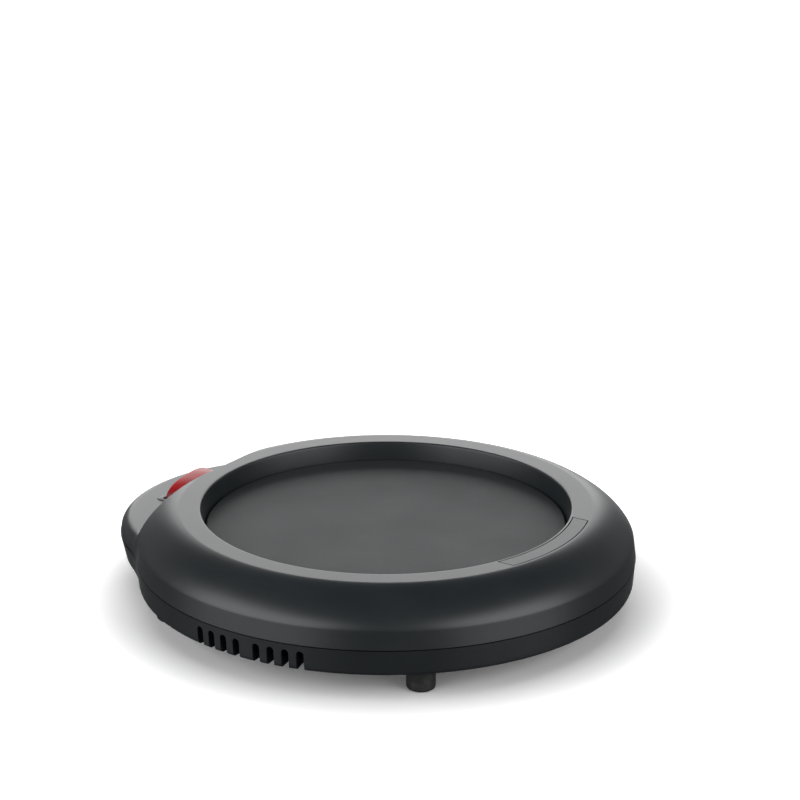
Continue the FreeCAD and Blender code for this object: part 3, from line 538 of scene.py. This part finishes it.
# the lower shell as one closed wall, with the tongue that stands inside the cover's skirt
def makeBase():
    c, k = case, baseRows
    outer = skin(baseGap, 0.0, c["baseEdge"], 0.0, k["endAngle"], k["steps"], k["outer"])
    bottom = path((k["bottomRing"], c["bottom"]), (0.0, c["bottom"]))
    edge = outer[:, 0, 0]
    inside, tongueFace = edge - c["wall"], edge - c["skirt"] - k["tongueGap"]
    tongueTop = c["coverEdge"] + c["tongue"] - k["tongueGap"]
    tongue = levels((inside * 0, c["floorTop"]), (inside * k["floorRing"], c["floorTop"]),
                    (inside - k["floorBend"], c["floorTop"]), (inside, c["floorTop"] + k["floorBend"]),
                    (inside, tongueTop), (tongueFace, tongueTop), (tongueFace, c["baseEdge"]))
    rows = np.concatenate([tongue, outer, sameForAll(bottom, k["steps"])], 1)
    return rowsToPoints(rows), gridFaces(k["steps"], rows.shape[1], wrapColumns=False)


# takes the cutters' volume out of a piece and leaves a plain mesh
def cutWith(piece, cutters):
    for cutter in cutters:
        modifier = piece.modifiers.new("cut", "BOOLEAN")
        modifier.operation = "DIFFERENCE"
        modifier.solver = "EXACT"
        modifier.object = cutter
    bpy.context.view_layer.update()
    shaped = bpy.data.meshes.new_from_object(piece.evaluated_get(bpy.context.evaluated_depsgraph_get()))
    piece.modifiers.clear()
    piece.data = shaped
    for cutter in cutters:
        bpy.data.objects.remove(cutter)


# a closed mesh used only to cut with, from its rings of points
def toolFrom(rings):
    return closedMesh("tool", np.concatenate(rings), cappedFaces(len(rings), len(rings[0])), toolWeld)


# a plan outline at one height and again at another
def uprightRings(outline, low, high):
    return [np.column_stack([outline, np.full(len(outline), z)]) for z in (low, high)]


def roundedRectangle(halfX, halfY, corner, centreY, steps=6):
    x, y = halfX - corner, halfY - corner
    corners = [arc((sx * x, centreY + sy * y), corner, start, start + 90, steps)
               for sx, sy, start in ((1, 1, 0), (-1, 1, 90), (-1, -1, 180), (1, -1, 270))]
    return np.concatenate(corners)


inlay = dict(inner=47.1, outer=51.4, half=17.8, gap=0.18, depth=1.18, thick=1.0, edge=0.12, cutRise=3.0)


# the strip's plan: two arcs about the axis, joined by straight ends at one distance from the middle
def inlayOutline(inset, steps=48):
    half = inlay["half"] - inset
    lines = []
    for radius, flip in ((inlay["outer"] - inset, 1), (inlay["inner"] + inset, -1)):
        reach = math.degrees(math.asin(half / radius))
        lines.append(arc((0, 0), radius, -90 - flip * reach, -90 + flip * reach, steps))
    return np.concatenate(lines)


# the trim strip, with a fine chamfer round its top
def makeInlay():
    top, gap, edge = case["rimTop"], inlay["gap"], inlay["edge"]
    rings = []
    for inset, z in ((gap, top - inlay["thick"]), (gap, top - edge), (gap + edge, top)):
        outline = inlayOutline(inset)
        rings.append(np.column_stack([outline, np.full(len(outline), z)]))
    return np.concatenate(rings), cappedFaces(len(rings), len(rings[0]))


switch = dict(y=58.5, halfLength=9.9, halfWidth=5.0, wall=1.2, corner=0.8, gap=0.1, cutLow=-8.0,
              cutHigh=-2.0, bezel=0.25, bezelTop=0.16, bezelEdge=0.06, bezelRound=0.15, innerCorner=0.32,
              low=-11.4)
vents = dict(direction=88.0, pitch=3.5, groupGap=5.2, count=4, width=1.9, top=-9.6, reach=57.7, outside=70.0)
screws = dict(places=((22.0, -47.6), (25.0, 55.6)), bore=3.0, depth=1.8)
inlet = dict(z=-10.6, neck=3.1, inner=66.0, outside=82.0)
belowCase = -16.0                        # where cutters that go up into the base start


# upright slots through the lower shell's side, rounded at their top
def ventTools():
    steps = [vents["groupGap"] / 2 + i * vents["pitch"] for i in range(vents["count"])]
    half = vents["width"] / 2
    outline = path((-half, belowCase), (half, belowCase), arc((0, vents["top"] - half), half, 0, 180, 9))
    tools = []
    for side in (-1, 1):
        for step in [s * sign for s in steps for sign in (-1, 1)]:
            angle = math.radians(-90 + side * (vents["direction"] + step))
            rings = []
            for reach in (vents["reach"], vents["outside"]):
                x = reach * math.cos(angle) - outline[:, 0] * math.sin(angle)
                y = reach * math.sin(angle) + outline[:, 0] * math.cos(angle)
                rings.append(np.column_stack([x, y, outline[:, 1]]))
            tools.append(toolFrom(rings))
    return tools


def boreTools():
    top = case["bottom"] + screws["depth"]
    return [toolFrom(uprightRings(circle((side * x, y), screws["bore"]), belowCase, top))
            for x, y in screws["places"] for side in (-1, 1)]


# the round way in for the cord, carried along Y
def inletTool():
    outline = circle((0, inlet["z"]), inlet["neck"])
    return toolFrom([np.column_stack([outline[:, 0], np.full(len(outline), y), outline[:, 1]])
                     for y in (inlet["inner"], inlet["outside"])])


def inlayTool():
    bottom = case["rimTop"] - inlay["depth"]
    return toolFrom(uprightRings(inlayOutline(0.0), bottom, case["rimTop"] + inlay["cutRise"]))


def switchTool():
    s = switch
    outer = s["wall"] + s["gap"]
    opening = roundedRectangle(s["halfLength"] + outer, s["halfWidth"] + outer, s["corner"], s["y"])
    return toolFrom(uprightRings(opening, s["cutLow"], s["cutHigh"]))


cover = closedMesh("coverSkin", *makeCover(), pieceWeld)
cutWith(cover, [inlayTool(), switchTool(), inletTool()])
finishPiece(cover, "black_shell", "case", "upper_cover")
print("stage: cover made,", len(cover.data.polygons), "faces")

base = closedMesh("baseSkin", *makeBase(), pieceWeld)
cutWith(base, ventTools() + boreTools() + [inletTool()])
finishPiece(base, "black_shell", "case", "lower_base")
print("stage: base made,", len(base.data.polygons), "faces")

addPiece("inlayStrip", *makeInlay(), "grey_trim", "case", "rim_inlay", 20.0)

plate = dict(radius=45.2, thick=1.5, edge=0.5, rings=(20.0, 38.0), steps=180)


# the hot plate: a flat disc with a rounded rim
def makePlate():
    k = plate
    edge = arc((k["radius"] - k["edge"], -k["edge"]), k["edge"], 90, 0, 8)
    inner, outer = k["rings"]
    profile = path((0, 0), (inner, 0), (outer, 0), edge, (k["radius"], -k["thick"]), (0, -k["thick"]))
    return turnedGrid(profile, k["steps"]), gridFaces(k["steps"], len(profile), wrapColumns=False)


addPiece("plateDisc", *makePlate(), "hot_plate", "case", "warming_plate")

rocker = dict(halfLength=9.1, halfWidth=4.7, crest=4.2, fullness=2.6, depth=3.8, round=0.6, tilt=6.0,
              pivotDrop=2.4, centreDrop=0.5, profileSteps=61, edgeSteps=7)


# The rocker: a superellipse crown on upright ends, carried across its width. Near each side the outline
# shrinks and the width grows along a quarter circle, which rounds the long edges.
def makeRocker():
    k = rocker
    t = np.linspace(-np.pi / 2, np.pi / 2, k["profileSteps"])
    x = k["halfLength"] * np.sign(t) * np.abs(np.sin(t)) ** (2 / k["fullness"])
    z = k["crest"] * np.abs(np.cos(t)) ** (2 / k["fullness"])
    x = np.append(x, [k["halfLength"], -k["halfLength"]])
    z = np.append(z, [-k["depth"], -k["depth"]])
    inwardX, inwardZ = -x / k["halfLength"], (-k["centreDrop"] - z) / k["crest"]
    a = np.radians(np.linspace(0, 90, k["edgeSteps"]))
    width = k["halfWidth"] - k["round"] + k["round"] * np.sin(a)
    inset = k["round"] * (1 - np.cos(a))
    across, shrink = np.concatenate([-width[::-1], width]), np.concatenate([inset[::-1], inset])
    rings = [np.column_stack([x + inwardX * s, np.full(len(x), y), z + inwardZ * s])
             for y, s in zip(across, shrink)]
    lift = np.array(Matrix.Rotation(math.radians(-k["tilt"]), 3, "Y"))
    pivot = np.array([0.0, 0.0, -k["pivotDrop"]])
    points = (np.concatenate(rings) - pivot) @ lift.T + pivot
    return points + np.array([0, switch["y"], case["lobeTop"]]), cappedFaces(len(rings), len(x))


addPiece("rockerCap", *makeRocker(), "red_rocker", "rocker_button", "rocker", 40.0)


# the switch's frame: a rounded rectangular collar, low on the lobe, with its walls going down inside
def makeBezel():
    s = switch
    foot, top, outer = case["lobeTop"], case["lobeTop"] + s["bezelTop"], s["wall"] + s["bezel"]
    layers = ((outer, foot), (outer, top - s["bezelEdge"]), (outer - s["bezelRound"], top),
              (s["bezelRound"], top), (0.0, top - s["bezelRound"]), (0.0, s["low"]), (s["wall"], s["low"]),
              (s["wall"], foot))
    rings = []
    for grow, z in layers:
        sides = (s["halfLength"] + grow, s["halfWidth"] + grow)
        plan = roundedRectangle(*sides, s["innerCorner"] + grow, s["y"])
        rings.append(np.column_stack([plan, np.full(len(plan), z)]))
    return np.concatenate(rings), gridFaces(len(rings), len(rings[0]))


addPiece("switchCollar", *makeBezel(), "switch_black", "case", "switch_housing", 40.0)

feet = dict(x=40.8, y=37.1, radius=3.5, edge=0.9, stem=2.0, topEdge=0.2, dimple=1.8, dimpleSlope=0.3,
            dimpleDepth=0.25, steps=48)


# a rubber peg with a rounded foot, a shallow dimple under it and a stem up through the floor
def makeFoot(x, y):
    f, top, table = feet, case["bottom"], case["table"]
    edge = arc((f["radius"] - f["edge"], table + f["edge"]), f["edge"], 0, -90, 8)
    dimpleTop = table + f["dimpleDepth"]
    profile = path((0, case["floorTop"]), (f["stem"], case["floorTop"]), (f["stem"], top),
                   (f["radius"] - f["topEdge"], top), (f["radius"], top - f["topEdge"]), edge,
                   (f["dimple"], table), (f["dimple"] - f["dimpleSlope"], dimpleTop), (0, dimpleTop))
    points = turnedGrid(profile, f["steps"]) + np.array([x, y, 0.0])
    return points, gridFaces(f["steps"], len(profile), wrapColumns=False)


pegPlaces = (("front_left", -1, -1), ("front_right", 1, -1), ("back_left", -1, 1), ("back_right", 1, 1))
for place, x, y in pegPlaces:
    peg = makeFoot(x * feet["x"], y * feet["y"])
    addPiece("footPeg_" + place, *peg, "foot_rubber", "case", "foot_" + place)
print("stage: small pieces made")


# camera, floor and light

# millimetres and degrees, the focal length in pixels; the heading is counted from +X towards +Y
camera = dict(distance=680.0, height=20.718, pitch=18.529, yaw=0.3151, roll=0.0286, focal=2709.06,
              heading=33.8, sensor=36.0, pixels=800.0, clip=(0.01, 20.0))

# metres; lamps as name, turn from the camera's side, rise, distance, size and radiance
studio = dict(
    floorReach=3.0, floorDrop=0.00005, floorSeen=(0.96, 0.96, 0.96), floorAround=(0.10, 0.10, 0.10),
    # the floor's painted shadow: its glow stays at the near colour close to the object and rises to the far
    # colour over these radii
    aroundRoughness=0.3, paintedShadowReach=(0.062, 0.090), paintedShadowGlow=(0.04, 0.04, 0.04), farGlow=(0.75, 0.75, 0.75),
    horizon=(0.26, 0.26, 0.26), zenith=(0.10, 0.10, 0.102), skyRange=(0.25, 0.85),
    lamps=(("left", -60.0, 19.0, 0.95, (1.20, 0.80), 2.8),
           ("right", 56.0, 19.0, 0.95, (0.95, 0.78), 2.8),
           ("back", 180.0, 16.0, 1.10, (0.85, 0.56), 2.6)),
    overhead=("overhead", 0.0, 90.0, 1.25, (1.30, 1.30), 1.3))


# the view measured from the photograph: where it stands, where it looks, and its lens
def makeCamera():
    k = camera
    height, pitch, yaw, roll = (math.radians(k[n]) for n in ("height", "pitch", "yaw", "roll"))
    place = Vector((0, -k["distance"] * math.cos(height), k["distance"] * math.sin(height)))
    ahead = Vector((math.sin(yaw) * math.cos(pitch), math.cos(yaw) * math.cos(pitch), -math.sin(pitch)))
    right = ahead.cross(Vector((0, 0, 1))).normalized()
    up = right.cross(ahead)
    right, up = right * math.cos(roll) + up * math.sin(roll), up * math.cos(roll) - right * math.sin(roll)
    spin = Matrix.Rotation(math.radians(k["heading"] - 90), 3, "Z")
    place = (spin @ place + Vector((0, 0, case["rimTop"]))) * mm
    basis = Matrix([spin @ right, spin @ up, spin @ -ahead]).transposed().to_4x4()
    data = bpy.data.cameras.new("view")
    data.sensor_width = k["sensor"]
    data.lens = k["focal"] * k["sensor"] / k["pixels"]
    data.clip_start, data.clip_end = k["clip"]
    view = bpy.data.objects.new("view", data)
    scene.collection.objects.link(view)
    view.matrix_world = Matrix.Translation(place) @ basis
    scene.camera = view


# A wide floor at the feet. The camera alone sees it pale, with the object's shadow on it and a painted
# shadow round the object: its glow is low near the object and rises to white further out. All other rays see
# it dark and a little glossy.
def makeFloor():
    s = studio
    mesh = bpy.data.meshes.new("floor")
    reach, height = s["floorReach"], case["table"] * mm - s["floorDrop"]
    corners = [(x * reach, y * reach, height) for x, y in ((-1, -1), (1, -1), (1, 1), (-1, 1))]
    mesh.from_pydata(corners, [], [(0, 1, 2, 3)])
    floor = bpy.data.objects.new("floor", mesh)
    scene.collection.objects.link(floor)
    material = bpy.data.materials.new("floorWhite")
    material.use_nodes = True
    Wire.tree = material.node_tree
    seen = Wire.tree.nodes["Principled BSDF"]
    x, y, _ = axes(objectPoint())
    # painted shadow: the glow is low near the object and rises with distance from it
    paintedShadowFade = ((x * x + y * y) ** 0.5).ramp(*s["paintedShadowReach"])
    setSockets(seen, Base_Color=s["floorSeen"], Roughness=1.0, Specular_IOR_Level=0.0,
               Emission_Color=mixColour(paintedShadowFade, s["paintedShadowGlow"], s["farGlow"]), Emission_Strength=1.0)
    around = makeNode("ShaderNodeBsdfPrincipled")
    setSockets(around, Base_Color=s["floorAround"], Roughness=s["aroundRoughness"])
    seenByCamera = Wire(makeNode("ShaderNodeLightPath").outputs["Is Camera Ray"])
    shaders = {0: seenByCamera, 1: Wire(around.outputs[0]), 2: Wire(seen.outputs[0])}
    mixed = makeNode("ShaderNodeMixShader", None, shaders)
    Wire.tree.links.new(mixed.outputs[0], Wire.tree.nodes["Material Output"].inputs["Surface"])
    mesh.materials.append(material)


# a dim room, darker overhead; what the camera sees of it is white
def makeWorld():
    world = bpy.data.worlds.new("room")
    scene.world = world
    world.use_nodes = True
    Wire.tree = world.node_tree
    direction = Wire(makeNode("ShaderNodeTexCoord").outputs["Generated"])
    shade = mixColour(axes(direction)[2].ramp(*studio["skyRange"]), studio["horizon"], studio["zenith"])
    seenByCamera = Wire(makeNode("ShaderNodeLightPath").outputs["Is Camera Ray"])
    colour = mixColour(seenByCamera, shade, (1.0, 1.0, 1.0))
    background = Wire.tree.nodes["Background"]
    Wire.tree.links.new(colour.socket, background.inputs["Color"])
    background.inputs["Strength"].default_value = 1.0


# a softbox turned from the camera's side and raised, both in degrees, that faces the object; a lamp's
# power is its radiance times pi times its area
def makeLamp(name, turn, rise, distance, size, radiance):
    data = bpy.data.lights.new(name, "AREA")
    data.shape = "RECTANGLE"
    data.size, data.size_y = size
    data.energy = radiance * math.pi * size[0] * size[1]
    lamp = bpy.data.objects.new(name, data)
    scene.collection.objects.link(lamp)
    heading, up = math.radians(turn - 180 + camera["heading"]), math.radians(rise)
    flat = math.cos(up)
    place = Vector((flat * math.cos(heading), flat * math.sin(heading), math.sin(up))) * distance
    lamp.location = place
    lamp.rotation_euler = (-place).to_track_quat("-Z", "Y").to_euler()
    return lamp


makeCamera()
makeFloor()
makeWorld()
for lampSettings in studio["lamps"]:
    makeLamp(*lampSettings)
makeLamp(*studio["overhead"]).visible_glossy = False    # lights the object but isn't mirrored in it
scene.view_settings.view_transform = "Standard"
print("stage: camera, floor and light set")
